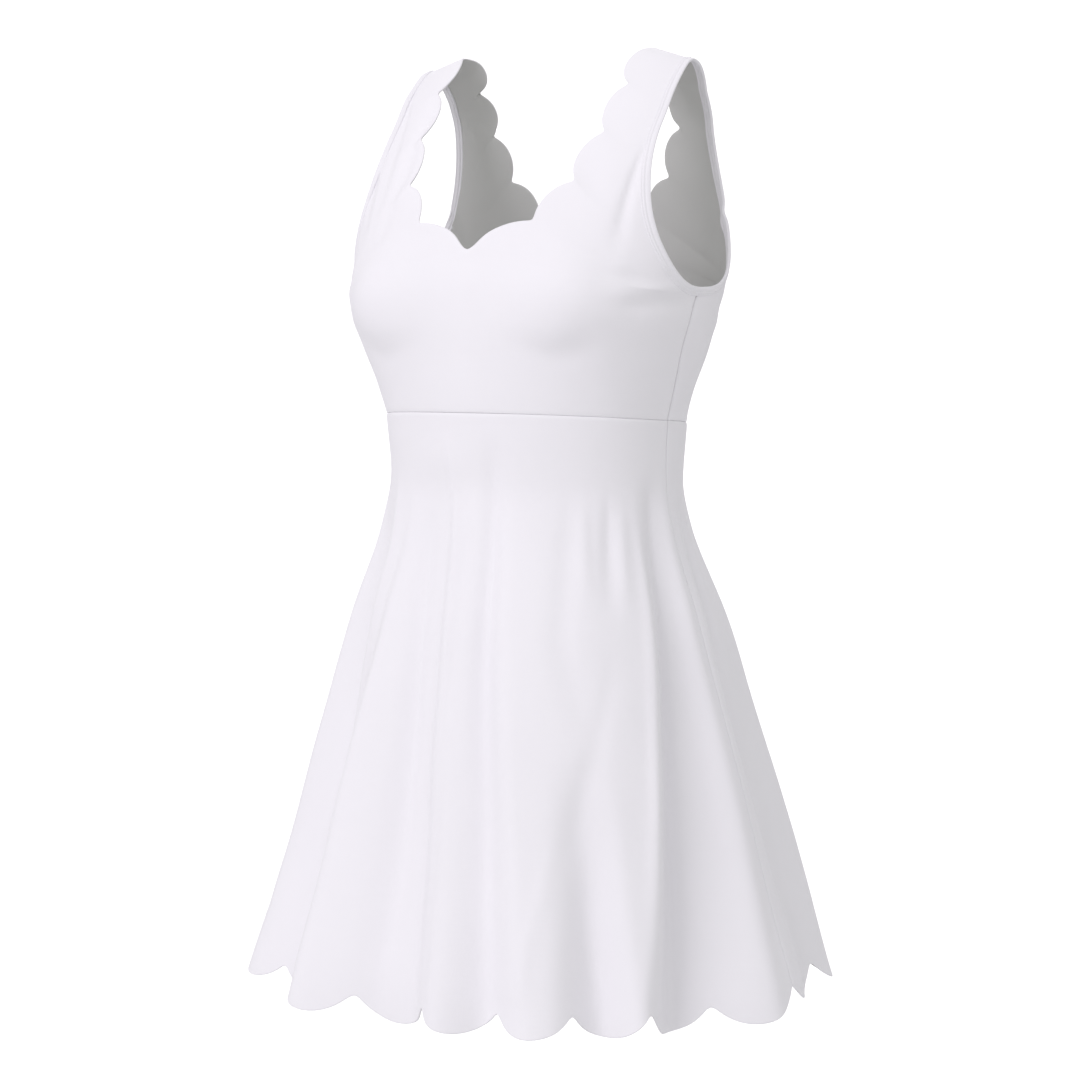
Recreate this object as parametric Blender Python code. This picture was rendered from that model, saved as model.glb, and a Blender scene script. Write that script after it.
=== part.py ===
"""Sleeveless tennis dress, in the hollow form that it has when it is worn.

The dress hangs from its two straps. +Z is up, the front faces -Y and the wearer's left is +X.
The origin lies midway between the two straps, level with their tops. Sizes are in metres.
A place on the cloth is given by its angle round the body, from the middle of the front towards
the wearer's left, and by its drop below the strap tops.
"""
import math

import bmesh
import bpy
from mathutils import Vector

CLOTH = 0.0016          # wall: a double layer of smooth knit
SEAM_GAP = 0.0003       # between two pieces at a seam
BODY_SETBACK = 0.024    # the body's axis lies this far in front of the strap tops

# Sections of the whole dress, from the shoulder down. Depths are measured from the section's
# own centre line; a squareness of 2 is an ellipse, more is boxier.
SECTION_COLUMNS = ("drop", "half_width", "front", "back", "centre", "front_square", "back_square")
SECTIONS = (
    (0.000, 0.172, 0.000, 0.000, 0.024, 2.5, 3.4),
    (0.004, 0.172, 0.011, 0.011, 0.024, 2.5, 3.4),
    (0.014, 0.172, 0.022, 0.022, 0.023, 2.5, 3.4),
    (0.032, 0.172, 0.038, 0.034, 0.021, 2.5, 3.4),
    (0.052, 0.172, 0.051, 0.045, 0.019, 2.5, 3.4),
    (0.072, 0.172, 0.063, 0.053, 0.015, 2.5, 3.4),
    (0.112, 0.171, 0.086, 0.065, 0.010, 2.5, 3.4),
    (0.144, 0.170, 0.098, 0.076, 0.005, 2.5, 3.2),
    (0.167, 0.169, 0.103, 0.082, 0.002, 2.5, 3.0),
    (0.200, 0.166, 0.106, 0.087, -0.001, 2.5, 2.7),
    (0.225, 0.162, 0.106, 0.088, -0.002, 2.5, 2.5),
    (0.258, 0.150, 0.104, 0.089, -0.003, 2.4, 2.4),
    (0.285, 0.139, 0.102, 0.092, -0.004, 2.3, 2.3),
    (0.305, 0.1325, 0.100, 0.094, -0.004, 2.3, 2.3),
    (0.355, 0.130, 0.098, 0.090, -0.004, 2.2, 2.2),
    (0.395, 0.138, 0.106, 0.096, -0.004, 2.1, 2.1),
    (0.4655, 0.163, 0.130, 0.128, -0.003, 2.05, 2.05),
    (0.566, 0.193, 0.163, 0.165, -0.002, 2.0, 2.0),
    (0.665, 0.221, 0.195, 0.204, 0.000, 2.0, 2.0),
    (0.764, 0.2525, 0.230, 0.225, 0.000, 2.0, 2.0),
    (0.800, 0.264, 0.241, 0.235, 0.000, 2.0, 2.0),
)

SHOULDER_SLOPE = 0.30   # fall of the shoulder line from the neck outwards
SHOULDER_NECK = 0.098   # half the neck width at the shoulder seam
SHOULDER_FADE = 0.120   # drop at which the slope no longer tilts the sections

BUST_ANGLE = math.radians(37)
BUST_DROP = 0.207
BUST_OUT = 0.009
BUST_WIDTH = math.radians(24)
BUST_HEIGHT = 0.036

WAIST_DROP = 0.3055     # waist seam, at the sides
WAIST_TILT = 0.0062     # the seam rises this much at the front and falls as much at the back

# Notches of the scalloped neckline, from its lowest point up to the shoulder seam: each one's
# distance from the middle and its drop
FRONT_NECK = ((0.000, 0.167), (0.058, 0.144), (0.085, 0.112), (0.095, 0.072), (0.099, 0.032),
              (SHOULDER_NECK, 0.000))
BACK_NECK = ((0.000, 0.165), (0.056, 0.138), (0.083, 0.105), (0.098, 0.065), (0.103, 0.028),
             (SHOULDER_NECK, 0.000))
NECK_SCALLOP = 0.012    # how far a scallop stands out from the line between its notches
NECK_MIDDLE_SCALLOP = 0.009

FRONT_ARMHOLE_LINE = 0.139  # half width at the straight part of the armhole's front
BACK_ARMHOLE_LINE = 0.134
SHOULDER_END = 0.138    # half width where the armhole meets the shoulder seam
SHOULDER_END_DROP = 0.030
ARMHOLE_TURN = 0.060    # drop where the armhole starts to curve under the arm
ARMHOLE_BOTTOM = 0.197
ARMHOLE_STRAIGHT = 0.30  # share of the edge that is straight
BINDING_WIDTH = 0.008
BINDING_PROUD = 0.0003
BINDING_CLOTH = 0.0022

HEM_DROP = 0.764        # notches of the hem
HEM_SCALLOP = 0.0195
HEM_SCALLOPS = 11       # in each of the two skirt panels
HEM_LIFT = 0.15         # the hem falls by this share of how far a trough stands in
HEM_MEAN_INSET = 0.012

# Folds of the skirt: each row is one trough between two ridges. Its middle and its reach to the
# wearer's right and left are in degrees, then come its depth at the hem, the drop where it starts
# and how far the ridge on its left leans over it.
FOLDS = (
    (-76, 13, 13, 0.060, 0.42, 0.000),
    (-38, 17, 18, 0.050, 0.40, 0.008),
    (-1, 26, 22, 0.056, 0.36, 0.012),
    (24, 15, 10, 0.034, 0.35, 0.004),
    (45, 8, 8, 0.032, 0.44, 0.003),
    (70, 17, 18, 0.034, 0.40, 0.000),
    (105, 15, 13, 0.016, 0.42, 0.000),
    (133, 13, 13, 0.040, 0.40, 0.000),
    (160, 13, 15, 0.044, 0.38, 0.006),
    (191, 15, 14, 0.036, 0.42, 0.000),
    (222, 16, 16, 0.046, 0.37, 0.008),
    (253, 13, 13, 0.038, 0.43, 0.000),
)

BODICE_COLUMNS = 8      # cells from the middle to the side
TORSO_ROWS = 8
CELLS_PER_SCALLOP = 5
STRAP_ROWS = (len(FRONT_NECK) - 1) * CELLS_PER_SCALLOP
SKIRT_ROWS = (0.0, 0.05, 0.12, 0.21, 0.31, 0.42, 0.54, 0.66, 0.78, 0.88, 0.95, 1.0)

WHITE_KNIT = (0.90, 0.89, 0.93, 1.0)
BINDING_KNIT = (0.86, 0.85, 0.90, 1.0)


def curve_through(places, values):
    """A smooth curve through the values that never swings past them."""
    steps = [b - a for a, b in zip(places, places[1:])]
    slopes = [(b - a) / s for a, b, s in zip(values, values[1:], steps)]
    tangents = [slopes[0]]
    for before, after in zip(slopes, slopes[1:]):
        tangents.append(0.0 if before * after <= 0 else 2 * before * after / (before + after))
    tangents.append(slopes[-1])

    def value(place):
        place = min(max(place, places[0]), places[-1])
        cell = 0
        while cell < len(steps) - 1 and place > places[cell + 1]:
            cell += 1
        step = steps[cell]
        t = (place - places[cell]) / step
        start = (1 + 2 * t) * (1 - t) ** 2 * values[cell] + t * t * (3 - 2 * t) * values[cell + 1]
        return start + step * (t * (1 - t) ** 2 * tangents[cell] - t * t * (1 - t) * tangents[cell + 1])

    return value


SECTION_CURVES = [curve_through([math.sqrt(row[0]) for row in SECTIONS], [row[column] for row in SECTIONS])
                  for column in range(1, len(SECTION_COLUMNS))]


def section(drop):
    return [curve(math.sqrt(max(drop, 0.0))) for curve in SECTION_CURVES]


def signed_power(value, power):
    return math.copysign(abs(value) ** power, value)


def bump(value):
    """1 at the middle, falling smoothly to 0 at -1 and +1."""
    return 0.5 + 0.5 * math.cos(math.pi * value) if abs(value) < 1 else 0.0


def wrapped(angle):
    return (angle + math.pi) % (2 * math.pi) - math.pi


def fold_shape(angle, drop):
    """How far the skirt stands in from its section, and how far it is pushed sideways."""
    inset = 0.0
    aside = 0.0
    for centre, reach_right, reach_left, depth, start, overlap in FOLDS:
        growth = max(0.0, (drop - start) / (HEM_DROP - start)) ** 1.15
        if growth == 0.0:
            continue
        away = wrapped(angle - math.radians(centre))
        reach = math.radians(reach_left if away > 0 else reach_right)
        inset += depth * growth * bump(away / reach)
        if overlap:
            ridge = math.radians(reach_left)
            aside += overlap * growth * bump((away - ridge) / ridge)
    return inset, aside


def skin(angle, drop, gap=0.0):
    """The outer face of the cloth."""
    half_width, front, back, centre, front_square, back_square = section(drop)
    facing_front = math.cos(angle) >= 0
    power = 2 / (front_square if facing_front else back_square)
    x = half_width * signed_power(math.sin(angle), power)
    depth = (front if facing_front else back) * abs(math.cos(angle)) ** power + gap
    y = centre - depth if facing_front else centre + depth
    fade = max(0.0, 1 - drop / SHOULDER_FADE) ** 2
    z = -drop - SHOULDER_SLOPE * fade * (abs(x) - SHOULDER_NECK)
    point = Vector((x, y - BODY_SETBACK, z))
    outwards = Vector((math.sin(angle), -math.cos(angle), 0.0))
    along = Vector((math.cos(angle), math.sin(angle), 0.0))
    for side in (-1, 1):
        across = (wrapped(angle) - side * BUST_ANGLE) / BUST_WIDTH
        height = (drop - BUST_DROP) / BUST_HEIGHT
        point += outwards * BUST_OUT * math.exp(-across * across - height * height)
    inset, aside = fold_shape(angle, drop)
    return point - outwards * inset - along * aside


def skin_normal(angle, drop, gap=0.0):
    """Direction out of the cloth. The drop is stepped by its root, which stays smooth at the shoulder."""
    turn = 0.002
    step = 0.002
    run = max(math.sqrt(max(drop, 0.0)), step)
    across = skin(angle + turn, drop, gap) - skin(angle - turn, drop, gap)
    down = skin(angle, (run + step) ** 2, gap) - skin(angle, (run - step) ** 2, gap)
    return down.cross(across).normalized()


def angle_at(across, drop, back):
    """Angle of a point of the cloth from its distance to the middle plane."""
    half_width, _, _, _, front_square, back_square = section(drop)
    share = min(abs(across) / half_width, 1.0)
    angle = math.asin(share ** ((back_square if back else front_square) / 2))
    return math.pi - angle if back else angle


def waist(angle):
    return WAIST_DROP - WAIST_TILT * math.cos(angle)


def side_seam(drop):
    """The side seam leans a little to the front beside the bust."""
    return math.radians(90 - 5 * bump((drop - 0.235) / 0.07))


def arc_rise(share, chord, rise):
    """Height of a round arc over its chord."""
    radius = (chord * chord / 4 + rise * rise) / (2 * rise)
    return math.sqrt(radius * radius - (chord * (share - 0.5)) ** 2) - (radius - rise)


def armhole(share, back, inset):
    """A point of the armhole: share 0 under the arm, 1 at the shoulder; inset into the panel."""
    bottom = ARMHOLE_BOTTOM + inset
    from_shoulder = 1 - share
    if from_shoulder < ARMHOLE_STRAIGHT:
        drop = ARMHOLE_TURN * from_shoulder / ARMHOLE_STRAIGHT
        turn = 0.0
    else:
        turn = (from_shoulder - ARMHOLE_STRAIGHT) / (1 - ARMHOLE_STRAIGHT) * math.pi / 2
        drop = ARMHOLE_TURN + (bottom - ARMHOLE_TURN) * math.sin(turn)
    line = BACK_ARMHOLE_LINE if back else FRONT_ARMHOLE_LINE
    line += (SHOULDER_END - line) * max(0.0, 1 - drop / SHOULDER_END_DROP) - inset
    start = angle_at(line, drop, back)
    return start + (side_seam(drop) - start) * (1 - math.cos(turn)), drop


def neckline(share, back):
    """A point on the line through the notches, and the scallop's rise there."""
    notches = BACK_NECK if back else FRONT_NECK
    place = share * (len(notches) - 1)
    scallop = min(int(place + 1e-6), len(notches) - 2)
    steps = list(range(len(notches)))
    across = curve_through(steps, [row[0] for row in notches])(place)
    drop = curve_through(steps, [row[1] for row in notches])(place)
    chord = math.dist(notches[scallop], notches[scallop + 1])
    rise = NECK_MIDDLE_SCALLOP if scallop == 0 else NECK_SCALLOP
    return angle_at(across, drop, back), drop, arc_rise(place - scallop, chord, rise)


def grid(columns, rows):
    """A flat grid with x from -1 to 1 and y from 0 to 1."""
    mesh = bmesh.new()
    bmesh.ops.create_grid(mesh, x_segments=columns, y_segments=rows, size=1.0)
    bmesh.ops.scale(mesh, vec=(1.0, 0.5, 1.0), verts=mesh.verts)
    bmesh.ops.translate(mesh, vec=(0.0, 0.5, 0.0), verts=mesh.verts)
    return mesh


def place_vertex(vertex, out, point, normal, wall):
    """Put a vertex on the outer face and remember the way to the inner one."""
    vertex.co = point
    vertex[out] = normal * wall


def thicken(mesh, out):
    """Give a placed sheet its wall."""
    extruded = bmesh.ops.extrude_face_region(mesh, geom=mesh.faces[:], use_keep_orig=True)
    for item in extruded["geom"]:
        if isinstance(item, bmesh.types.BMVert):
            item.co -= item[out]
    bmesh.ops.recalc_face_normals(mesh, faces=mesh.faces)


def finish(mesh, name, colour):
    data = bpy.data.meshes.new(name)
    mesh.to_mesh(data)
    mesh.free()
    material = bpy.data.materials.new(name)
    material.use_nodes = True
    shader = material.node_tree.nodes["Principled BSDF"]
    shader.inputs["Base Color"].default_value = colour
    shader.inputs["Roughness"].default_value = 0.85
    shader.inputs["Metallic"].default_value = 0.0
    data.materials.append(material)
    data.shade_smooth()
    data.set_sharp_from_angle(angle=math.radians(50))
    piece = bpy.data.objects.new(name, data)
    bpy.context.scene.collection.objects.link(piece)
    return piece


def bodice_place(share_across, row_share, torso_share, back):
    """Angle, drop and scallop rise of a point in the left half of a bodice panel."""
    half_gap = SEAM_GAP / 2
    middle = math.pi if back else 0.0
    outwards = -1 if back else 1
    inset = BINDING_WIDTH + SEAM_GAP
    strap_share = max(0.0, (row_share - torso_share) / (1 - torso_share))
    neck_angle, neck_drop, rise = neckline(strap_share, back)
    arm_angle, arm_drop = armhole(strap_share, back, inset)
    level_out = 1 - (1 - share_across) ** 2     # rows level out under the arm, like the armhole
    drop = neck_drop + (arm_drop - neck_drop) * level_out
    if row_share < torso_share:
        low = waist(middle + (math.pi / 2 - middle) * share_across) - half_gap
        drop = low + (drop - low) * row_share / torso_share
        arm_angle = side_seam(drop)
    seam = side_seam(drop) - outwards * half_gap / section(drop)[0]
    arm_angle = max(arm_angle, seam) if back else min(arm_angle, seam)
    return neck_angle + (arm_angle - neck_angle) * share_across, drop, rise


def scallop_out(strap_share, back):
    """Direction in which the left neckline's scallops stand out from the panel."""
    step = 0.002
    before = neckline(max(strap_share - step, 0.0), back)
    after = neckline(min(strap_share + step, 1.0), back)
    along = skin(after[0], after[1]) - skin(before[0], before[1])
    place = neckline(strap_share, back)
    out = along.cross(skin_normal(place[0], place[1])).normalized()
    return out if out.x < 0 else -out


def make_bodice(name, back):
    """A front or back: the torso below the neckline's lowest point, and a strap on each side above it."""
    rows = TORSO_ROWS + STRAP_ROWS
    torso_share = TORSO_ROWS / rows
    mesh = grid(2 * BODICE_COLUMNS, rows)
    opening = [edge for edge in mesh.edges
               if all(abs(vertex.co.x) < 1e-5 for vertex in edge.verts)
               and min(vertex.co.y for vertex in edge.verts) > torso_share - 1e-5]
    bmesh.ops.split_edges(mesh, edges=opening)
    out = mesh.verts.layers.float_vector.new("out")
    places = {}
    for vertex in mesh.verts:
        side = math.copysign(1, sum(face.calc_center_median().x for face in vertex.link_faces))
        places[vertex] = (side, min(abs(vertex.co.x), 1.0), min(max(vertex.co.y, 0.0), 1.0))
    for vertex, (side, share_across, row_share) in places.items():
        angle, drop, rise = bodice_place(share_across, row_share, torso_share, back)
        point = skin(angle, drop, SEAM_GAP / 2)
        normal = skin_normal(angle, drop, SEAM_GAP / 2)
        strap_share = (row_share - torso_share) / (1 - torso_share)
        if strap_share > 1e-5:
            point += scallop_out(strap_share, back) * rise * (1 - share_across) ** 3
        point.x *= side
        normal.x *= side
        place_vertex(vertex, out, point, normal, CLOTH)
    thicken(mesh, out)
    return finish(mesh, name, WHITE_KNIT)


def make_binding(name, side):
    """The folded band that finishes an armhole, one ring through both panels' edges."""
    mesh = grid(2 * STRAP_ROWS, 1)
    out = mesh.verts.layers.float_vector.new("out")
    for vertex in mesh.verts:
        back = vertex.co.x > 0
        angle, drop = armhole(min(abs(vertex.co.x), 1.0), back, BINDING_WIDTH * vertex.co.y)
        normal = skin_normal(angle, drop)
        point = skin(angle, drop) + normal * BINDING_PROUD
        point.x *= side
        normal.x *= side
        place_vertex(vertex, out, point, normal, BINDING_CLOTH)
    bmesh.ops.remove_doubles(mesh, verts=mesh.verts, dist=0.0001)
    thicken(mesh, out)
    return finish(mesh, name, BINDING_KNIT)


def hem_angles(middle, cells):
    """Angles that part a panel's hem into cells of equal length along the cloth."""
    samples = 60 * cells
    angles = [middle + math.pi * (step / samples - 0.5) for step in range(samples + 1)]
    points = [skin(angle, HEM_DROP) for angle in angles]
    lengths = [0.0]
    for before, after in zip(points, points[1:]):
        lengths.append(lengths[-1] + (after - before).length)
    parted = []
    step = 0
    for cell in range(cells + 1):
        while step < samples and lengths[step] < lengths[-1] * cell / cells - 1e-9:
            step += 1
        parted.append(angles[step])
    return parted, lengths[-1]


def make_skirt(name, middle):
    """A flared panel from the waist seam to the scalloped hem, between the side seams."""
    cells = HEM_SCALLOPS * CELLS_PER_SCALLOP
    angles, hem_length = hem_angles(middle, cells)
    chord = hem_length / HEM_SCALLOPS
    mesh = grid(cells, len(SKIRT_ROWS) - 1)
    out = mesh.verts.layers.float_vector.new("out")
    for vertex in mesh.verts:
        column = round((vertex.co.x + 1) / 2 * cells)
        share = SKIRT_ROWS[round(vertex.co.y * (len(SKIRT_ROWS) - 1))]
        angle = angles[column]
        rise = arc_rise(column % CELLS_PER_SCALLOP / CELLS_PER_SCALLOP, chord, HEM_SCALLOP)
        inset, _ = fold_shape(angle, HEM_DROP)
        low = HEM_DROP + HEM_LIFT * (inset - HEM_MEAN_INSET)
        top = waist(angle) + SEAM_GAP / 2
        drop = top + (low - top) * share + rise * max(0.0, (share - 0.7) / 0.3) ** 2
        if column in (0, cells):
            angle += math.copysign(SEAM_GAP / 2 / section(drop)[0], middle + 1e-9 - angle)
        place_vertex(vertex, out, skin(angle, drop), skin_normal(angle, drop), CLOTH)
    thicken(mesh, out)
    return finish(mesh, name, WHITE_KNIT)


for leftover in list(bpy.data.objects):
    bpy.data.objects.remove(leftover)

make_bodice("front_bodice", back=False)
make_bodice("back_bodice", back=True)
make_binding("armhole_binding_left", side=1)
make_binding("armhole_binding_right", side=-1)
make_skirt("front_skirt", middle=0.0)
make_skirt("back_skirt", middle=math.pi)
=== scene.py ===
"""Looks of a sleeveless white tennis dress with a scalloped neck and hem, hanging as it is worn.

Metres. +Z is up, the front faces -Y, the wearer's left is +X, and the straps' tops are at the
origin's height. A place on the cloth is its angle round the body, from the middle of the front
towards the wearer's left, and its drop below the strap tops.
"""
import math

import bmesh
import bpy
from mathutils import Matrix, Vector, noise


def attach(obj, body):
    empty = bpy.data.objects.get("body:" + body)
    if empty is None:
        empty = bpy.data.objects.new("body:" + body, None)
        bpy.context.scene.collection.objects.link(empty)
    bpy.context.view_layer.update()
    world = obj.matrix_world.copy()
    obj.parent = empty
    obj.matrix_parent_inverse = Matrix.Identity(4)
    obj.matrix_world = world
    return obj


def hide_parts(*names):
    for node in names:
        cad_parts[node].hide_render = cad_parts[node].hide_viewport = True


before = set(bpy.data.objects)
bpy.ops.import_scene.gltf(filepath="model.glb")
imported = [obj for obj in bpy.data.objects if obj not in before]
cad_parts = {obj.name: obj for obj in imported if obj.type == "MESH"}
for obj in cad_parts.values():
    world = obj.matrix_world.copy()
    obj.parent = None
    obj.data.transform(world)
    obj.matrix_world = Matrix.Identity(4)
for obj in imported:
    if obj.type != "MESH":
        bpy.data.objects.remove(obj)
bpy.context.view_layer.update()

# The dress is seen from its wearer's left front, from chest height and looking slightly down,
# through a long lens.
BODY_SETBACK = 0.024        # the body's axis lies this far in front of the strap tops
VIEW_TURN = math.radians(36)
VIEW_DISTANCE = 2.8
VIEW_HEIGHT = -0.2236
VIEW_SPAN = 0.9072          # height of what the square frame takes in at the dress
VIEW_TILT = math.atan(0.066)
SENSOR = 36.0

lens = bpy.data.cameras.new("view")
lens.sensor_width = SENSOR
lens.lens = SENSOR * VIEW_DISTANCE / VIEW_SPAN / math.cos(VIEW_TILT)
view = bpy.data.objects.new("view", lens)
view.location = (VIEW_DISTANCE * math.sin(VIEW_TURN),
                 -VIEW_DISTANCE * math.cos(VIEW_TURN) - BODY_SETBACK, VIEW_HEIGHT)
view.rotation_euler = (math.pi / 2 - VIEW_TILT, 0.0, VIEW_TURN)
bpy.context.scene.collection.objects.link(view)
bpy.context.scene.camera = view

# The room is a white photographer's sweep: a matt floor that curves up into the wall behind. The
# dress hangs over it at a wearer's height.
FLOOR_DROP = 1.35
SWEEP_HALF_WIDTH = 9.0
SWEEP_FRONT = 6.0
SWEEP_BACK = 4.5
SWEEP_HEIGHT = 7.0
SWEEP_BEND = 2.0
SWEEP_GLARE = 0.55          # the sweep is exposed to pure white, but throws less light back

mesh = bmesh.new()
corners = [mesh.verts.new((-SWEEP_HALF_WIDTH, y, z)) for y, z in
           ((-SWEEP_FRONT, 0.0), (SWEEP_BACK, 0.0), (SWEEP_BACK, SWEEP_HEIGHT))]
profile = [mesh.edges.new(pair) for pair in zip(corners, corners[1:])]
swept = bmesh.ops.extrude_edge_only(mesh, edges=profile)
bmesh.ops.translate(mesh, vec=(2 * SWEEP_HALF_WIDTH, 0, 0),
                    verts=[item for item in swept["geom"] if isinstance(item, bmesh.types.BMVert)])
bend = [edge for edge in mesh.edges if len(edge.link_faces) == 2]
bmesh.ops.bevel(mesh, geom=bend, offset=SWEEP_BEND, segments=24, profile=0.5, affect="EDGES",
                material=-1)
bmesh.ops.rotate(mesh, cent=(0, 0, 0), matrix=Matrix.Rotation(VIEW_TURN, 3, "Z"), verts=mesh.verts)
bmesh.ops.translate(mesh, vec=(0, 0, -FLOOR_DROP), verts=mesh.verts)
bmesh.ops.recalc_face_normals(mesh, faces=mesh.faces)
sweep_data = bpy.data.meshes.new("studio_sweep")
mesh.to_mesh(sweep_data)
mesh.free()
sweep_data.shade_smooth()
sweep_paper = bpy.data.materials.new("sweep_paper")
sweep_paper.use_nodes = True
paper_shader = sweep_paper.node_tree.nodes["Principled BSDF"]
paper_shader.inputs["Base Color"].default_value = (0.76, 0.76, 0.76, 1)
paper_shader.inputs["Roughness"].default_value = 0.95
paper_shader.inputs["Specular IOR Level"].default_value = 0.1
paper_shader.inputs["Emission Color"].default_value = (1.0, 1.0, 1.0, 1)
glare = sweep_paper.node_tree.nodes.new("ShaderNodeMath")
glare.operation = "MULTIPLY"
glare.inputs[1].default_value = SWEEP_GLARE
seen = sweep_paper.node_tree.nodes.new("ShaderNodeLightPath")
sweep_paper.node_tree.links.new(seen.outputs["Is Camera Ray"], glare.inputs[0])
sweep_paper.node_tree.links.new(glare.outputs[0], paper_shader.inputs["Emission Strength"])
sweep_data.materials.append(sweep_paper)
sweep = bpy.data.objects.new("studio_sweep", sweep_data)
bpy.context.scene.collection.objects.link(sweep)

# Soft studio light: a broad key before the dress and a smaller one behind it, both high up, and
# an even white room that keeps the shaded sides open.
LIGHT_DISTANCE = 4.6
LIT_POINT = Vector((0, 0, -0.40))
ROOM_LIGHT = 0.73
ROOM_GLARE = 0.35           # the bare room is exposed to white too


def softbox(name, turn, rise, width, height, energy, colour):
    """A rectangular soft light on a stand round the dress, aimed at its middle."""
    lamp = bpy.data.lights.new(name, "AREA")
    lamp.shape = "RECTANGLE"
    lamp.size = width
    lamp.size_y = height
    lamp.energy = energy
    lamp.color = colour
    stand = bpy.data.objects.new(name, lamp)
    stand.location = LIT_POINT + LIGHT_DISTANCE * Vector(
        (math.sin(turn) * math.cos(rise), -math.cos(turn) * math.cos(rise), math.sin(rise)))
    stand.rotation_euler = (LIT_POINT - stand.location).to_track_quat("-Z", "Y").to_euler()
    bpy.context.scene.collection.objects.link(stand)


softbox("key_softbox", math.radians(-8), math.radians(36), 2.6, 2.0, 74.0, (0.97, 0.92, 1.0))
softbox("back_softbox", math.radians(205), math.radians(38), 1.6, 1.6, 44.0, (0.97, 0.94, 1.0))
room = bpy.data.worlds.new("white_room")
room.use_nodes = True
room.node_tree.nodes["Background"].inputs["Color"].default_value = (1.0, 1.0, 1.0, 1)
room_seen = room.node_tree.nodes.new("ShaderNodeLightPath")
room_glow = room.node_tree.nodes.new("ShaderNodeMath")
room_glow.operation = "MULTIPLY_ADD"
room_glow.inputs[1].default_value = ROOM_GLARE
room_glow.inputs[2].default_value = ROOM_LIGHT
room.node_tree.links.new(room_seen.outputs["Is Camera Ray"], room_glow.inputs[0])
room.node_tree.links.new(room_glow.outputs[0], room.node_tree.nodes["Background"].inputs["Strength"])
bpy.context.scene.world = room
bpy.context.scene.view_settings.view_transform = "Standard"

# The bodice front is one panel of doubled stretch knit, cut in a deep V whose edge runs in
# scallops. It is shaped over the bust and sewn to the back at the shoulders and sides.
CLOTH = 0.0016
SECTION_COLUMNS = ("drop", "half_width", "front", "back", "centre", "front_square", "back_square")
SECTIONS = (
    (0.000, 0.172, 0.000, 0.000, 0.024, 2.5, 3.4),
    (0.004, 0.172, 0.011, 0.011, 0.024, 2.5, 3.4),
    (0.014, 0.172, 0.022, 0.022, 0.023, 2.5, 3.4),
    (0.032, 0.172, 0.038, 0.034, 0.021, 2.5, 3.4),
    (0.052, 0.172, 0.051, 0.045, 0.019, 2.5, 3.4),
    (0.072, 0.172, 0.063, 0.053, 0.015, 2.5, 3.4),
    (0.112, 0.171, 0.086, 0.065, 0.010, 2.5, 3.4),
    (0.144, 0.170, 0.098, 0.076, 0.005, 2.5, 3.2),
    (0.167, 0.169, 0.103, 0.082, 0.002, 2.5, 3.0),
    (0.200, 0.166, 0.106, 0.087, -0.001, 2.5, 2.7),
    (0.225, 0.162, 0.106, 0.088, -0.002, 2.5, 2.5),
    (0.258, 0.150, 0.104, 0.089, -0.003, 2.4, 2.4),
    (0.285, 0.139, 0.102, 0.092, -0.004, 2.3, 2.3),
    (0.305, 0.1325, 0.100, 0.094, -0.004, 2.3, 2.3),
    (0.355, 0.130, 0.098, 0.090, -0.004, 2.2, 2.2),
    (0.395, 0.138, 0.106, 0.096, -0.004, 2.1, 2.1),
    (0.4655, 0.163, 0.130, 0.128, -0.003, 2.05, 2.05),
    (0.566, 0.193, 0.163, 0.165, -0.002, 2.0, 2.0),
    (0.665, 0.221, 0.195, 0.204, 0.000, 2.0, 2.0),
    (0.764, 0.2525, 0.230, 0.225, 0.000, 2.0, 2.0),
    (0.800, 0.264, 0.241, 0.235, 0.000, 2.0, 2.0),
)
SHOULDER_SLOPE = 0.30
SHOULDER_NECK = 0.098
SHOULDER_FADE = 0.120
BUST_ANGLE = math.radians(37)
BUST_DROP = 0.207
BUST_OUT = 0.009
BUST_WIDTH = math.radians(24)
BUST_HEIGHT = 0.036
WAIST_DROP = 0.3055
WAIST_TILT = 0.0062
FRONT_NECK = ((0.000, 0.167), (0.058, 0.144), (0.085, 0.112), (0.095, 0.072), (0.099, 0.032),
              (SHOULDER_NECK, 0.000))
BACK_NECK = ((0.000, 0.165), (0.056, 0.138), (0.083, 0.105), (0.098, 0.065), (0.103, 0.028),
             (SHOULDER_NECK, 0.000))
NECK_SCALLOP = 0.012
NECK_MIDDLE_SCALLOP = 0.009
NECK_MIDDLE_SOFT = 0.17     # share of the lowest scallop over which the V is rounded off
FRONT_ARMHOLE_LINE = 0.139
BACK_ARMHOLE_LINE = 0.134
SHOULDER_END = 0.138
SHOULDER_END_DROP = 0.030
ARMHOLE_TURN = 0.060
ARMHOLE_BOTTOM = 0.197
ARMHOLE_STRAIGHT = 0.30
BINDING_WIDTH = 0.008
BINDING_TUCK = 0.002        # the panel's edge runs this far into the binding
SEAM_WIDTH = 0.0012         # half width of the groove that a seam pulls
SEAM_DEPTH = 0.0007
SEAM_LAP = 0.0001           # the panels meet with this much of their rounded edges tucked under
SIDE_SEAM_END = 0.355       # below this the side seam lies flat
SIDE_SEAM_FADE = 0.05
KNIT_STITCH = (0.0011, 0.0009, 0.00012)     # width, height and relief of the knit's stitches

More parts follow.
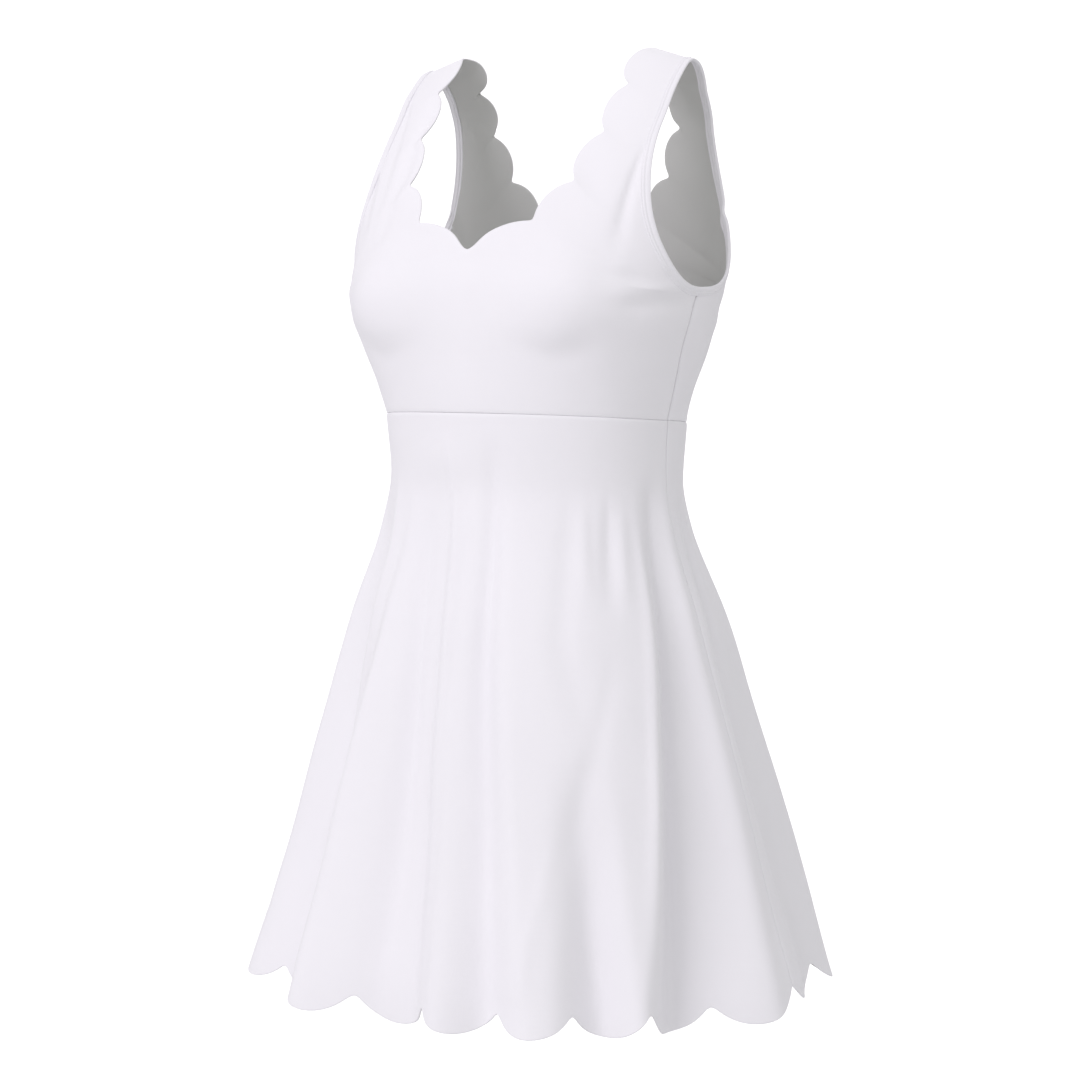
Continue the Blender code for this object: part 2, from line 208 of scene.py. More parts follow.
# Creases of the bodice, one row each: the angles and drops that it runs through, its half width and
# how far it stands out, or in where that is negative.
BODICE_CREASES = (
    (((46, 0.086), (46, 0.170)), 0.0052, -0.0042),
    (((32, 0.096), (33, 0.132)), 0.0100, -0.0012),
    (((45, 0.214), (66, 0.209), (87, 0.209)), 0.0050, -0.0034),
    (((44, 0.202), (78, 0.200)), 0.0055, 0.0024),
    (((42, 0.188), (60, 0.190)), 0.0060, -0.0012),
    (((87, 0.204), (75, 0.196), (68, 0.188)), 0.0040, -0.0010),
    (((47, 0.166), (49, 0.200), (45, 0.224), (46, 0.244), (55, 0.266), (76, 0.298)), 0.0110, 0.0026),
    (((13, 0.240), (30, 0.254), (44, 0.240)), 0.0080, -0.0026),
    (((48, 0.256), (62, 0.280), (81, 0.302)), 0.0090, -0.0018),
    (((-31, 0.030), (-32, 0.116), (-33, 0.166)), 0.0060, -0.0034),
    (((-46, 0.024), (-41, 0.080), (-38, 0.160)), 0.0070, -0.0024),
    (((-49, 0.100), (-46, 0.158)), 0.0060, -0.0020),
    (((-11, 0.172), (9, 0.174)), 0.0035, -0.0005),
    (((-48, 0.168), (-50, 0.204), (-46, 0.242), (-56, 0.268), (-74, 0.296)), 0.0110, 0.0024),
    (((-13, 0.240), (-30, 0.254), (-44, 0.240)), 0.0080, -0.0026),
    (((-48, 0.214), (-83, 0.210)), 0.0055, -0.0018),
    (((-44, 0.202), (-72, 0.203)), 0.0060, 0.0012),
    (((-49, 0.258), (-80, 0.298)), 0.0090, -0.0018),
    (((100, 0.214), (120, 0.216), (140, 0.226)), 0.0070, -0.0020),
    (((104, 0.232), (126, 0.242), (150, 0.264)), 0.0090, -0.0018),
    (((128, 0.100), (132, 0.160)), 0.0065, -0.0022),
    (((-102, 0.216), (-120, 0.216), (-136, 0.224)), 0.0070, -0.0018),
    (((-106, 0.236), (-128, 0.248), (-148, 0.272)), 0.0090, -0.0020),
    (((-130, 0.098), (-134, 0.158)), 0.0065, -0.0022),
    (((160, 0.268), (180, 0.262), (202, 0.270)), 0.0100, -0.0018),
)
CREASE_REACH = 3.0          # in half widths
CREASE_START = 0.7          # share of its half width that a crease starts with
CREASE_GROWTH = 0.6         # and that it gains on its way
CREASE_TIP = 0.03           # share of its length that is cut off each pointed end
CREASE_FULLNESS = 0.7
FULL_BUST_ANGLE = math.radians(27)
FULL_BUST_DROP = 0.211
FULL_BUST_OUT = 0.0082
FULL_BUST_RADIUS = 0.041
RIPPLE = 0.0008             # faint unevenness of hanging cloth
RIPPLE_SIZE = 0.055


def curve_through(places, values):
    """A smooth curve through the values that never swings past them."""
    steps = [b - a for a, b in zip(places, places[1:])]
    slopes = [(b - a) / s for a, b, s in zip(values, values[1:], steps)]
    tangents = [slopes[0]]
    for before, after in zip(slopes, slopes[1:]):
        tangents.append(0.0 if before * after <= 0 else 2 * before * after / (before + after))
    tangents.append(slopes[-1])

    def value(place):
        place = min(max(place, places[0]), places[-1])
        cell = 0
        while cell < len(steps) - 1 and place > places[cell + 1]:
            cell += 1
        step = steps[cell]
        t = (place - places[cell]) / step
        start = (1 + 2 * t) * (1 - t) ** 2 * values[cell] + t * t * (3 - 2 * t) * values[cell + 1]
        return start + step * (t * (1 - t) ** 2 * tangents[cell] - t * t * (1 - t) * tangents[cell + 1])

    return value


SECTION_CURVES = [curve_through([math.sqrt(row[0]) for row in SECTIONS],
                                [row[column] for row in SECTIONS])
                  for column in range(1, len(SECTION_COLUMNS))]


def section(drop):
    return [curve(math.sqrt(max(drop, 0.0))) for curve in SECTION_CURVES]


def signed_power(value, power):
    return math.copysign(abs(value) ** power, value)


def bump(value):
    """1 at the middle, falling smoothly to 0 at -1 and +1."""
    return 0.5 + 0.5 * math.cos(math.pi * value) if abs(value) < 1 else 0.0


def wrapped(angle):
    return (angle + math.pi) % (2 * math.pi) - math.pi


def waist(angle):
    return WAIST_DROP - WAIST_TILT * math.cos(angle)


def side_seam(drop):
    """The side seam leans a little to the front beside the bust."""
    return math.radians(90 - 5 * bump((drop - 0.235) / 0.07))


def creased(creases, angle, drop):
    """How far the creases of a table move the cloth outwards."""
    radius = section(drop)[0]
    out = 0.0
    for places, width, height in creases:
        drops = [row[1] for row in places]
        if not min(drops) - CREASE_REACH * width < drop < max(drops) + CREASE_REACH * width:
            continue
        nearest = CREASE_REACH
        share = 0.0
        for step, ((from_angle, from_drop), (to_angle, to_drop)) in enumerate(zip(places, places[1:])):
            run = Vector((math.radians(to_angle - from_angle) * radius, to_drop - from_drop))
            away = Vector((wrapped(angle - math.radians(from_angle)) * radius, drop - from_drop))
            along = min(max(away.dot(run) / run.length_squared, 0.0), 1.0)
            reached = (step + along) / (len(places) - 1)
            here = width * (CREASE_START + CREASE_GROWTH * reached)
            aside = (away - run * along).length / here
            if aside < nearest:
                nearest = aside
                share = reached
        if nearest < CREASE_REACH:
            tip = math.sin(math.pi * (CREASE_TIP + (1 - 2 * CREASE_TIP) * share))
            out += height * math.exp(-nearest * nearest) * tip ** CREASE_FULLNESS
    return out


def seam_pull(angle, drop):
    """How far the waist seam and the side seams pull the cloth in."""
    pull = math.exp(-((drop - waist(angle)) / SEAM_WIDTH) ** 2)
    aside = abs(abs(wrapped(angle)) - side_seam(drop)) * section(drop)[0]
    fade = min(max((SIDE_SEAM_END - drop) / SIDE_SEAM_FADE, 0.0), 1.0)
    return SEAM_DEPTH * max(pull, fade * math.exp(-(aside / SEAM_WIDTH) ** 2))


def skin(angle, drop):
    """The smooth outer face of the cloth, without creases or folds."""
    half_width, front, back, centre, front_square, back_square = section(drop)
    facing_front = math.cos(angle) >= 0
    power = 2 / (front_square if facing_front else back_square)
    x = half_width * signed_power(math.sin(angle), power)
    depth = (front if facing_front else back) * abs(math.cos(angle)) ** power
    y = centre - depth if facing_front else centre + depth
    fade = max(0.0, 1 - drop / SHOULDER_FADE) ** 2
    z = -drop - SHOULDER_SLOPE * fade * (abs(x) - SHOULDER_NECK)
    point = Vector((x, y - BODY_SETBACK, z))
    outwards = Vector((math.sin(angle), -math.cos(angle), 0.0))
    for side in (-1, 1):
        across = (wrapped(angle) - side * BUST_ANGLE) / BUST_WIDTH
        height = (drop - BUST_DROP) / BUST_HEIGHT
        point += outwards * BUST_OUT * math.exp(-across * across - height * height)
    return point


def bodice_skin(angle, drop):
    """The bodice's outer face with its full bust, its creases and the cloth's slight unevenness."""
    point = skin(angle, drop)
    out = RIPPLE * noise.noise(point / RIPPLE_SIZE)
    out += creased(BODICE_CREASES, angle, drop) - seam_pull(angle, drop)
    for side in (-1, 1):
        across = (wrapped(angle) - side * FULL_BUST_ANGLE) * section(drop)[0]
        away = math.hypot(across, drop - FULL_BUST_DROP)
        out += FULL_BUST_OUT * math.exp(-(away / FULL_BUST_RADIUS) ** 3)
    return point + Vector((math.sin(angle), -math.cos(angle), 0.0)) * out


def skin_normal(angle, drop):
    """Direction out of the cloth. The drop is stepped by its root, which stays smooth at the shoulder."""
    turn = 0.002
    step = 0.002
    run = max(math.sqrt(max(drop, 0.0)), step)
    across = skin(angle + turn, drop) - skin(angle - turn, drop)
    down = skin(angle, (run + step) ** 2) - skin(angle, (run - step) ** 2)
    return down.cross(across).normalized()


def angle_at(across, drop, back):
    """Angle of a point of the cloth from its distance to the middle plane."""
    half_width, _, _, _, front_square, back_square = section(drop)
    share = min(abs(across) / half_width, 1.0)
    angle = math.asin(share ** ((back_square if back else front_square) / 2))
    return math.pi - angle if back else angle


def arc_rise(share, chord, rise):
    """Height of a round arc over its chord."""
    radius = (chord * chord / 4 + rise * rise) / (2 * rise)
    return math.sqrt(max(radius * radius - (chord * (share - 0.5)) ** 2, 0.0)) - (radius - rise)


def armhole(share, back, inset):
    """A point of the armhole: share 0 under the arm, 1 at the shoulder; inset into the panel."""
    bottom = ARMHOLE_BOTTOM + inset
    from_shoulder = 1 - share
    if from_shoulder < ARMHOLE_STRAIGHT:
        drop = ARMHOLE_TURN * from_shoulder / ARMHOLE_STRAIGHT
        turn = 0.0
    else:
        turn = (from_shoulder - ARMHOLE_STRAIGHT) / (1 - ARMHOLE_STRAIGHT) * math.pi / 2
        drop = ARMHOLE_TURN + (bottom - ARMHOLE_TURN) * math.sin(turn)
    line = BACK_ARMHOLE_LINE if back else FRONT_ARMHOLE_LINE
    line += (SHOULDER_END - line) * max(0.0, 1 - drop / SHOULDER_END_DROP) - inset
    start = angle_at(line, drop, back)
    return start + (side_seam(drop) - start) * (1 - math.cos(turn)), drop


def neckline(share, back):
    """A point on the line through the notches, and the scallop's rise there."""
    notches = BACK_NECK if back else FRONT_NECK
    place = share * (len(notches) - 1)
    scallop = min(int(place + 1e-6), len(notches) - 2)
    steps = list(range(len(notches)))
    across = curve_through(steps, [row[0] for row in notches])(place)
    drop = curve_through(steps, [row[1] for row in notches])(place)
    chord = math.dist(notches[scallop], notches[scallop + 1])
    soft = 1 - math.exp(-(place / NECK_MIDDLE_SOFT) ** 2)
    rise = NECK_MIDDLE_SCALLOP if scallop == 0 else NECK_SCALLOP
    return angle_at(across, drop, back), drop, soft * arc_rise(place - scallop, chord, rise)


def scallop_out(strap_share, back):
    """Direction in which the left neckline's scallops stand out from the panel."""
    step = 0.002
    before = neckline(max(strap_share - step, 0.0), back)
    after = neckline(min(strap_share + step, 1.0), back)
    along = skin(after[0], after[1]) - skin(before[0], before[1])
    place = neckline(strap_share, back)
    out = along.cross(skin_normal(place[0], place[1])).normalized()
    return out if out.x < 0 else -out


def bodice_place(across, up, back):
    """Angle, drop and scallop rise of a point in the left half of a panel. Going up, it is at the
    waist at -1, level with the neckline's lowest point at 0 and at the shoulder at 1."""
    middle = math.pi if back else 0.0
    strap_share = max(0.0, up)
    neck_angle, neck_drop, rise = neckline(strap_share, back)
    arm_angle, arm_drop = armhole(strap_share, back, BINDING_WIDTH - BINDING_TUCK)
    drop = neck_drop + (arm_drop - neck_drop) * (1 - (1 - across) ** 2)
    if up < 0:
        low = waist(middle + (math.pi / 2 - middle) * across) + SEAM_LAP
        drop = low + (drop - low) * (1 + up)
        arm_angle = side_seam(drop)
    return neck_angle + (arm_angle - neck_angle) * across, drop, rise


def edged(count, near, length):
    """Shares from 0 to 1 in even steps, with more of them close to both ends."""
    even = [step / count for step in range(1, count)]
    start = [distance / length for distance in near if distance / length < even[0] * 0.8]
    return [0.0] + start + even + [1 - share for share in reversed(start)] + [1.0]


def cloth_sheet(columns, rows, torn, place):
    """A grid with its crossings put in their places. torn(x, y) names the edges to part first, and
    place(side, column, row) gives a point and its place in the flat cut."""
    sheet = bmesh.new()
    bmesh.ops.create_grid(sheet, x_segments=columns, y_segments=rows, size=0.5)
    bmesh.ops.translate(sheet, vec=(0.5, 0.5, 0.0), verts=sheet.verts)
    bmesh.ops.split_edges(sheet, edges=[edge for edge in sheet.edges
                                        if all(torn(*vertex.co.xy) for vertex in edge.verts)])
    flat = sheet.loops.layers.uv.new("flat")
    crossings = {}
    for vertex in sheet.verts:
        side = math.copysign(1, sum(face.calc_center_median().x - 0.5 for face in vertex.link_faces))
        crossings[vertex] = (side, round(vertex.co.x * columns), round(vertex.co.y * rows))
    for vertex, crossing in crossings.items():
        vertex.co, spot = place(*crossing)
        for loop in vertex.link_loops:
            loop[flat].uv = spot
    return sheet


def knit_group():
    """Columns of small V-shaped stitches, on the cloth's own flat coordinates in metres."""
    group = bpy.data.node_groups.new("knit_stitches", "ShaderNodeTree")
    group.interface.new_socket("Flat", in_out="INPUT", socket_type="NodeSocketVector")
    group.interface.new_socket("Stitch Width", in_out="INPUT", socket_type="NodeSocketFloat")
    group.interface.new_socket("Stitch Height", in_out="INPUT", socket_type="NodeSocketFloat")
    group.interface.new_socket("Height", in_out="OUTPUT", socket_type="NodeSocketFloat")
    group.interface.new_socket("Tone", in_out="OUTPUT", socket_type="NodeSocketFloat")
    nodes = group.nodes
    links = group.links
    entry = nodes.new("NodeGroupInput")
    leave = nodes.new("NodeGroupOutput")
    split = nodes.new("ShaderNodeSeparateXYZ")
    links.new(entry.outputs["Flat"], split.inputs[0])

    def sum_of(kind, first, second):
        step = nodes.new("ShaderNodeMath")
        step.operation = kind
        for socket, value in zip(step.inputs, (first, second)):
            if isinstance(value, (int, float)):
                socket.default_value = value
            else:
                links.new(value, socket)
        return step.outputs[0]

    across = sum_of("DIVIDE", split.outputs["X"], entry.outputs["Stitch Width"])
    lean = sum_of("PINGPONG", across, 0.5)
    down = sum_of("DIVIDE", split.outputs["Y"], entry.outputs["Stitch Height"])
    leg = sum_of("SINE", sum_of("MULTIPLY", sum_of("ADD", down, lean), math.tau), 0.0)
    wale = sum_of("SINE", sum_of("MULTIPLY", lean, math.tau), 0.0)
    wave = sum_of("MULTIPLY", leg, 0.35)
    links.new(sum_of("MULTIPLY", wale, sum_of("ADD", wave, 0.65)), leave.inputs["Height"])
    cloudy = nodes.new("ShaderNodeTexNoise")
    cloudy.inputs["Scale"].default_value = 9.0
    cloudy.inputs["Detail"].default_value = 4.0
    links.new(entry.outputs["Flat"], cloudy.inputs["Vector"])
    links.new(cloudy.outputs["Fac"], leave.inputs["Tone"])
    return group


KNIT = knit_group()


def knit_material(name, light, dark, stitch_width, stitch_height, bump_depth):
    """Smooth matt stretch knit: tiny stitches, a soft nap and faint clouds of tone."""
    material = bpy.data.materials.new(name)
    material.use_nodes = True
    nodes = material.node_tree.nodes
    links = material.node_tree.links
    shader = nodes["Principled BSDF"]
    shader.inputs["Roughness"].default_value = 0.82
    shader.inputs["Specular IOR Level"].default_value = 0.25
    shader.inputs["Sheen Weight"].default_value = 0.12
    shader.inputs["Sheen Roughness"].default_value = 0.45
    flat = nodes.new("ShaderNodeUVMap")
    flat.uv_map = "flat"
    stitches = nodes.new("ShaderNodeGroup")
    stitches.node_tree = KNIT
    stitches.inputs["Stitch Width"].default_value = stitch_width
    stitches.inputs["Stitch Height"].default_value = stitch_height
    links.new(flat.outputs["UV"], stitches.inputs["Flat"])
    tone = nodes.new("ShaderNodeMix")
    tone.data_type = "RGBA"
    tone.inputs["A"].default_value = dark
    tone.inputs["B"].default_value = light
    links.new(stitches.outputs["Tone"], tone.inputs["Factor"])
    links.new(tone.outputs["Result"], shader.inputs["Base Color"])
    raised = nodes.new("ShaderNodeBump")
    raised.inputs["Strength"].default_value = 0.6
    raised.inputs["Distance"].default_value = bump_depth
    links.new(stitches.outputs["Height"], raised.inputs["Height"])
    links.new(raised.outputs["Normal"], shader.inputs["Normal"])
    return material


white_knit = knit_material("white_knit", (0.905, 0.893, 0.925, 1), (0.875, 0.864, 0.897, 1),
                           *KNIT_STITCH)
# The inner faces of the panels take this darker grey. It is painted shade for the hollow inside of the
# dress, whose knit is as white on its reverse as on its face.
knit_reverse_painted_shade = knit_material("knit_reverse_painted_shade", (0.66, 0.662, 0.645, 1), (0.61, 0.612, 0.598, 1),
                             *KNIT_STITCH)


def sewn_piece(sheet, name, materials, wall):
    """A cloth piece on its outer face: it gets its wall and soft rounded edges."""
    data = bpy.data.meshes.new(name)
    sheet.to_mesh(data)
    sheet.free()
    for material in materials:
        data.materials.append(material)
    data.shade_smooth()
    piece = bpy.data.objects.new(name, data)
    bpy.context.scene.collection.objects.link(piece)
    solid = piece.modifiers.new("wall", "SOLIDIFY")
    solid.thickness = wall
    solid.offset = -1.0
    # The inner faces take the last material, which for the panels is the painted shade of the inside.
    solid.material_offset = len(materials) - 1
    soft = piece.modifiers.new("soft edges", "SUBSURF")
    soft.levels = 1
    soft.render_levels = 1
    return piece


BODICE_HALF_COLUMNS = edged(14, (0.0012, 0.0035), 0.10)
STRAP_CELLS = 12            # along each scallop
STRAP_ROWS = STRAP_CELLS * (len(FRONT_NECK) - 1)
SEAM_STEPS = (0.0008, 0.0020, 0.0040)
TORSO_ROWS = edged(16, SEAM_STEPS, 0.12)
BODICE_ROWS = ([share - 1 for share in TORSO_ROWS[:-4]]
               + [step / STRAP_ROWS for step in range(STRAP_ROWS + 1)])


def bodice_cloth(name, back):
    """A bodice panel with one strap on each side, parted down the middle above the V's lowest point."""
    half = len(BODICE_HALF_COLUMNS) - 1
    columns = 2 * half
    rows = len(BODICE_ROWS) - 1
    lowest = BODICE_ROWS.index(0.0) / rows
    middle = math.pi if back else 0.0

    def place(side, column, row):
        across = BODICE_HALF_COLUMNS[abs(column - half)]
        up = BODICE_ROWS[row]
        angle, drop, rise = bodice_place(across, up, back)
        point = bodice_skin(side * angle, drop)
        if up > 1e-5:
            out = scallop_out(up, back)
            out.x *= side
            point += out * rise * (1 - across) ** 3
        return point, (side * (angle - middle) * section(drop)[0], -drop)

    sheet = cloth_sheet(columns, rows, lambda x, y: abs(x - 0.5) < 1e-5 and y > lowest - 1e-5, place)
    if back:
        bmesh.ops.reverse_faces(sheet, faces=sheet.faces)
    return sewn_piece(sheet, name, (white_knit, knit_reverse_painted_shade), CLOTH)


front_bodice = bodice_cloth("front_bodice_cloth", back=False)
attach(front_bodice, "root")
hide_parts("front_bodice")

# The bodice back is a panel of the same doubled knit, cut like the front but a little flatter,
# with a V of scallops as deep. It meets the front at the shoulders and the sides.
back_bodice = bodice_cloth("back_bodice_cloth", back=True)
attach(back_bodice, "root")
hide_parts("back_bodice")

# Each armhole is finished with a folded strip of the same knit, wrapped round the raw edge and
# sewn down with two close rows of stitches.
BINDING_WALL = 0.0026
BINDING_PROUD = 0.0005      # its edges stand this far out from the panel
BINDING_PUFF = 0.0006       # and its middle this much further
BINDING_CELLS = 100         # along half of the armhole
BINDING_CELL_LENGTH = 0.0021
BINDING_ACROSS = (0.0, 0.10, 0.26, 0.42, 0.52, 0.62, 0.72, 0.82, 0.92, 1.0)
STITCH_ROWS = (0.52, 0.82)  # share of the binding's width, from its free edge
STITCH_GROOVE = 0.0006      # half width of the groove that a row of stitches pulls
STITCH_PULL = 1.3           # share of the puff that it pulls in
STITCH_BED = 0.2            # share of the puff that the thread lies below the edges
STITCH_SAMPLES = 400        # along half of the armhole
STITCH_PITCH = 0.0030
STITCH_LENGTH = 0.0021
STITCH_THICK = 0.00042
THREAD_PLY = (0.0004, 0.0003, 0.00004)      # width, height and relief of the thread's twist

# The binding is the same white knit, painted a little darker as painted shade.
binding_knit = knit_material("binding_knit", (0.885, 0.874, 0.905, 1), (0.85, 0.84, 0.875, 1),
                             *KNIT_STITCH)
# The thread is painted darker still. This is painted shade of the grooves that the rows of stitches pull.
sewing_thread = knit_material("sewing_thread", (0.84, 0.83, 0.86, 1), (0.80, 0.79, 0.82, 1),
                              *THREAD_PLY)


def binding_point(share, back, across, lift, side):
    """A point on the binding's outer face and its normal there."""
    angle, drop = armhole(share, back, BINDING_WIDTH * across)
    normal = skin_normal(angle, drop)
    point = bodice_skin(angle, drop) + normal * lift
    return Vector((point.x * side, point.y, point.z)), Vector((normal.x * side, normal.y, normal.z))


def armhole_binding(name, side):
    """One closed ring through both panels' edges, from the shoulder under the arm and back up."""

    def place(_, column, row):
        back = column > BINDING_CELLS
        share = abs(column / BINDING_CELLS - 1)
        across = BINDING_ACROSS[row]
        puff = 1 - (2 * across - 1) ** 4
        sewn = sum(math.exp(-((across - line) * BINDING_WIDTH / STITCH_GROOVE) ** 2)
                   for line in STITCH_ROWS)
        lift = BINDING_PROUD + BINDING_PUFF * (puff - STITCH_PULL * sewn)
        point, _ = binding_point(share, back, across, lift, side)
        return point, (column * BINDING_CELL_LENGTH, across * BINDING_WIDTH)

    ring = cloth_sheet(2 * BINDING_CELLS, len(BINDING_ACROSS) - 1, lambda x, y: False, place)
    bmesh.ops.remove_doubles(ring, verts=ring.verts, dist=0.0001)
    bmesh.ops.recalc_face_normals(ring, faces=ring.faces)
    probe = next(iter(ring.faces))
    if probe.normal.x * side < 0:
        bmesh.ops.reverse_faces(ring, faces=ring.faces)
    return sewn_piece(ring, name, (binding_knit,), BINDING_WALL)


def armhole_stitches(name, side):
    """The two rows of stitches, each stitch a short plump bead of thread along the binding."""
    thread = bmesh.new()
    lift = BINDING_PROUD - STITCH_BED * BINDING_PUFF
    for line in STITCH_ROWS:
        for back in (False, True):
            samples = [binding_point(step / STITCH_SAMPLES, back, line, lift, side)
                       for step in range(STITCH_SAMPLES + 1)]
            run = 0.0
            due = STITCH_PITCH / 2
            for (before, _), (after, normal) in zip(samples, samples[1:]):
                run += (after - before).length
                if run < due:
                    continue
                due += STITCH_PITCH
                along = (after - before).normalized()
                aside = normal.cross(along).normalized()
                turn = Matrix((along, aside, normal)).transposed().to_4x4()
                size = Matrix.Diagonal((STITCH_LENGTH / 2, STITCH_THICK / 2, STITCH_THICK / 2, 1.0))
                bmesh.ops.create_uvsphere(thread, u_segments=6, v_segments=5, radius=1.0,
                                          matrix=Matrix.Translation(after) @ turn @ size)
    thread.loops.layers.uv.new("flat")
    data = bpy.data.meshes.new(name)
    thread.to_mesh(data)
    thread.free()
    data.materials.append(sewing_thread)
    data.shade_smooth()
    stitches = bpy.data.objects.new(name, data)
    bpy.context.scene.collection.objects.link(stitches)
    return stitches


for side_name, side in (("left", 1), ("right", -1)):
    binding = armhole_binding(f"armhole_binding_{side_name}_cloth", side)
    stitches = armhole_stitches(f"armhole_stitches_{side_name}", side)
    for piece in (binding, stitches):
        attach(piece, "root")
    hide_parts(f"armhole_binding_{side_name}")

# The skirt is two flared panels, front and back, sewn to the bodice at the high waist. It falls
# in deep soft folds, and a facing inside keeps the scallops of its hem crisp.
HEM_DROP = 0.764
HEM_SCALLOP = 0.0195
HEM_SCALLOPS = 11           # on each panel
HEM_LIFT = 0.15             # the hem falls by this share of how far a trough stands in
HEM_MEAN_INSET = 0.012
HEM_RADIUS = 0.20
SCALLOP_FADE = 0.3          # share of the skirt's length over which the scallops die out
HEM_CELLS = 12              # along each scallop
SKIRT_LENGTH = 0.46
FACING_RISE = 0.030         # the facing's upper edge shows faintly this far above the notches
FACING_PRINT = 0.00035
FACING_EDGE = 0.003
SKIRT_SHARES = list(reversed([1 - share for share in edged(64, SEAM_STEPS, SKIRT_LENGTH)]))

# Folds of the skirt, one row for each trough: its place where it starts and at the hem and its
# reach to the wearer's right and left in degrees, its depth at the hem, the drop where it starts
# and how far the ridge on its left leans over it.
FOLDS = (
    (-76, -76, 13, 13, 0.060, 0.40, 0.000),
    (-47, -38, 17, 18, 0.050, 0.37, 0.008),
    (-12, -1, 26, 22, 0.056, 0.34, 0.012),
    (8, 24, 15, 10, 0.034, 0.33, 0.004),
    (42, 45, 9, 9, 0.030, 0.57, 0.003),
    (80, 63, 10, 22, 0.042, 0.35, 0.000),
    (105, 105, 15, 13, 0.016, 0.42, 0.000),
    (133, 133, 13, 13, 0.040, 0.38, 0.000),
    (160, 160, 13, 15, 0.044, 0.36, 0.006),
    (191, 191, 15, 14, 0.036, 0.40, 0.000),
    (222, 222, 16, 16, 0.046, 0.36, 0.008),
    (253, 253, 13, 13, 0.038, 0.41, 0.000),
)
FOLD_GROWTH = 0.95

# The hem hangs higher at the sides, one row for each: its angle, its reach and its height.
SIDE_LIFTS = ((-72, 44, 0.008), (110, 36, 0.013))

# Creases of the skirt, in rows like those of the bodice.
SKIRT_CREASES = (
    (((-39, 0.365), (-39, 0.480), (-41, 0.576), (-44, 0.656), (-44, 0.850)), 0.0080, 0.0060),
    (((-31, 0.380), (-31, 0.500), (-33, 0.620), (-33, 0.850)), 0.0120, -0.0066),
    (((-17, 0.390), (-12, 0.568), (-10, 0.680), (-7, 0.850)), 0.0110, -0.0070),
    (((-6, 0.325), (-3, 0.400), (-1, 0.470), (1, 0.580), (4, 0.690), (9, 0.850)), 0.0070, 0.0056),
    (((8, 0.330), (12, 0.416), (14, 0.496), (20, 0.592), (27, 0.850)), 0.0095, -0.0066),
    (((40, 0.370), (37, 0.480), (46, 0.575)), 0.0120, -0.0024),
    (((52, 0.500), (44, 0.584), (38, 0.655)), 0.0100, -0.0018),
    (((36, 0.630), (32, 0.720), (30, 0.775)), 0.0045, 0.0016),
    (((46, 0.375), (45, 0.450)), 0.0060, 0.0018),
    (((57, 0.370), (53, 0.460)), 0.0070, -0.0026),
    (((63, 0.375), (59, 0.450)), 0.0060, 0.0018),
    (((70, 0.400), (64, 0.540), (60, 0.650), (56, 0.850)), 0.0080, 0.0044),
    (((80, 0.365), (73, 0.496), (69, 0.600), (66, 0.700), (62, 0.850)), 0.0085, -0.0060),
    (((88, 0.360), (85, 0.472), (85, 0.608), (82, 0.850)), 0.0110, 0.0060),
    (((101, 0.380), (99, 0.520), (100, 0.700)), 0.0120, -0.0070),
    (((116, 0.370), (118, 0.500), (119, 0.700)), 0.0100, 0.0036),
    (((150, 0.356), (148, 0.460), (147, 0.640)), 0.0090, 0.0040),
    (((168, 0.380), (172, 0.520), (176, 0.760)), 0.0110, -0.0044),
    (((205, 0.352), (206, 0.470), (207, 0.700)), 0.0090, 0.0040),
    (((186, 0.560), (178, 0.650)), 0.0080, -0.0020),
    (((238, 0.370), (237, 0.520), (238, 0.740)), 0.0100, 0.0040),
    (((262, 0.376), (265, 0.470), (268, 0.640)), 0.0100, -0.0040),
    (((-60, 0.360), (-58, 0.500), (-57, 0.700)), 0.0090, 0.0040),
    (((-92, 0.366), (-90, 0.500), (-91, 0.720)), 0.0100, 0.0038),
)


def fold_shape(angle, drop):
    """How far the skirt stands in from its section, and how far it is pushed sideways."""
    inset = 0.0
    aside = 0.0
    for top, hem, reach_right, reach_left, depth, start, overlap in FOLDS:
        growth = max(0.0, (drop - start) / (HEM_DROP - start))
        if growth == 0.0:
            continue
        centre = top + (hem - top) * min(growth, 1.0)
        growth = growth ** FOLD_GROWTH
        away = wrapped(angle - math.radians(centre))
        reach = math.radians(reach_left if away > 0 else reach_right)
        inset += depth * growth * bump(away / reach)
        if overlap:
            ridge = math.radians(reach_left)
            aside += overlap * growth * bump((away - ridge) / ridge)
    return inset, aside


def skirt_skin(angle, drop):
    """The skirt's outer face in its deep folds, without creases."""
    inset, aside = fold_shape(angle, drop)
    outwards = Vector((math.sin(angle), -math.cos(angle), 0.0))
    along = Vector((math.cos(angle), math.sin(angle), 0.0))
    return skin(angle, drop) - outwards * inset - along * aside


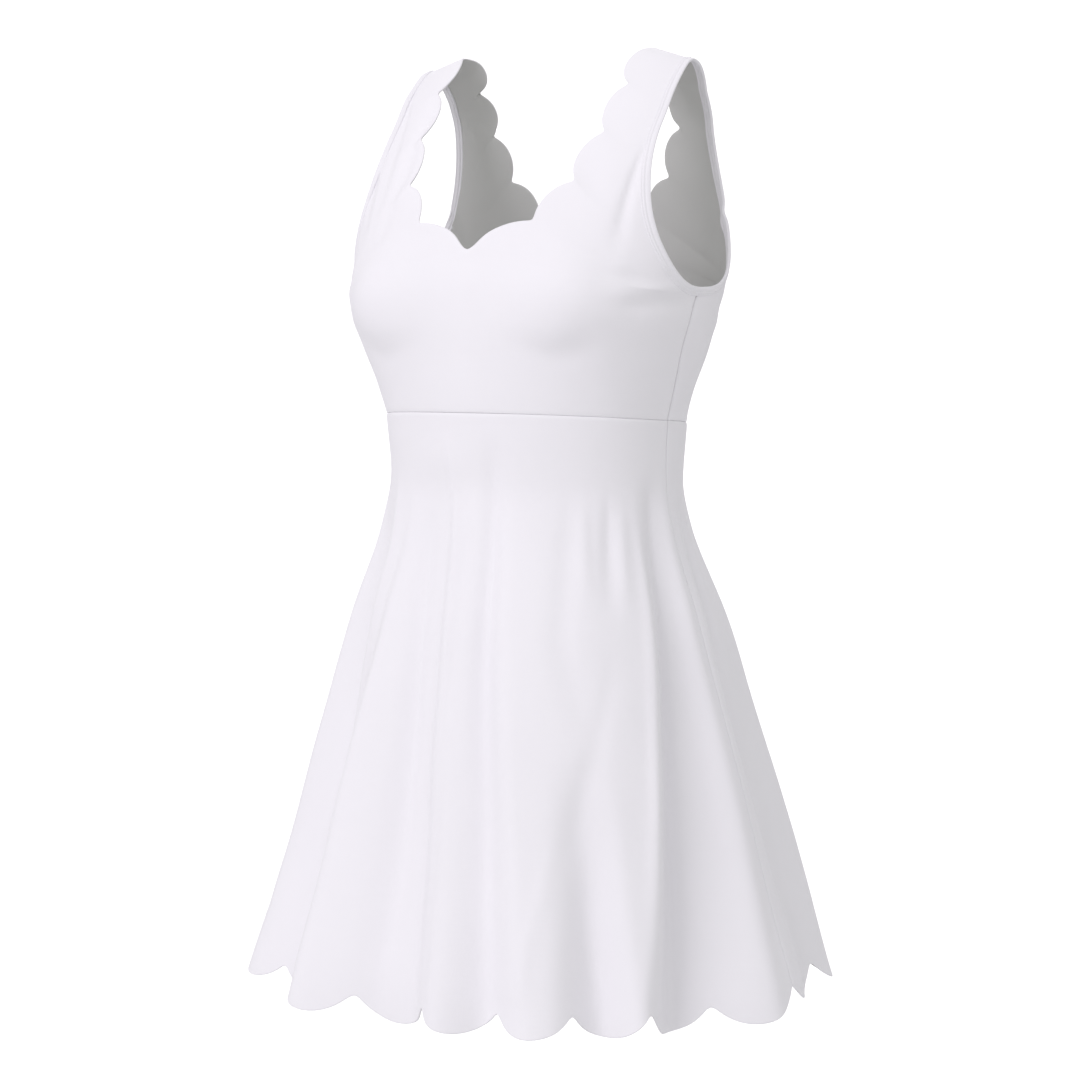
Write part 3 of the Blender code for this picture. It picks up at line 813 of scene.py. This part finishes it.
def hem_angles(middle, cells):
    """Angles that part a panel's hem into cells of equal length along the cloth."""
    samples = 30 * cells
    angles = [middle + math.pi * (step / samples - 0.5) for step in range(samples + 1)]
    points = [skirt_skin(angle, HEM_DROP) for angle in angles]
    lengths = [0.0]
    for before, after in zip(points, points[1:]):
        lengths.append(lengths[-1] + (after - before).length)
    parted = []
    step = 0
    for cell in range(cells + 1):
        while step < samples and lengths[step] < lengths[-1] * cell / cells - 1e-9:
            step += 1
        parted.append(angles[step])
    return parted, lengths[-1]


def skirt_cloth(name, middle):
    """A flared panel from the scalloped hem up to the waist seam, between the side seams."""
    cells = HEM_SCALLOPS * HEM_CELLS
    angles, hem_length = hem_angles(middle, cells)
    chord = hem_length / HEM_SCALLOPS
    places = [(angle, column / HEM_CELLS % 1) for column, angle in enumerate(angles)]
    for near in SEAM_STEPS[1:]:
        turn = near / HEM_RADIUS
        places.append((angles[0] + turn, near / chord))
        places.append((angles[-1] - turn, 1 - near / chord))
    places.sort()

    def place(_, column, row):
        angle, scallop_share = places[column]
        share = SKIRT_SHARES[row]
        rise = arc_rise(scallop_share, chord, HEM_SCALLOP)
        inset, _ = fold_shape(angle, HEM_DROP)
        low = HEM_DROP + HEM_LIFT * (inset - HEM_MEAN_INSET)
        for side_angle, reach, lift in SIDE_LIFTS:
            low -= lift * bump(wrapped(angle - math.radians(side_angle)) / math.radians(reach))
        top = waist(angle) - SEAM_LAP
        rise *= max(0.0, (SCALLOP_FADE - share) / SCALLOP_FADE) ** 2
        drop = top + (low - top) * (1 - share) + rise
        point = skirt_skin(angle, drop)
        above = (low - drop - FACING_RISE) / FACING_EDGE
        out = FACING_PRINT / (1 + math.exp(min(above, 30.0)))
        out += RIPPLE * noise.noise(skin(angle, drop) / RIPPLE_SIZE)
        out += creased(SKIRT_CREASES, angle, drop) - seam_pull(angle, drop)
        point += Vector((math.sin(angle), -math.cos(angle), 0.0)) * out
        return point, ((angle - middle) * section(drop)[0], -drop)

    sheet = cloth_sheet(len(places) - 1, len(SKIRT_SHARES) - 1, lambda x, y: False, place)
    return sewn_piece(sheet, name, (white_knit, knit_reverse_painted_shade), CLOTH)


for name, middle, bodice in (("front_skirt", 0.0, front_bodice), ("back_skirt", math.pi, back_bodice)):
    skirt = skirt_cloth(f"{name}_cloth", middle)
    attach(skirt, "root")
    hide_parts(name)
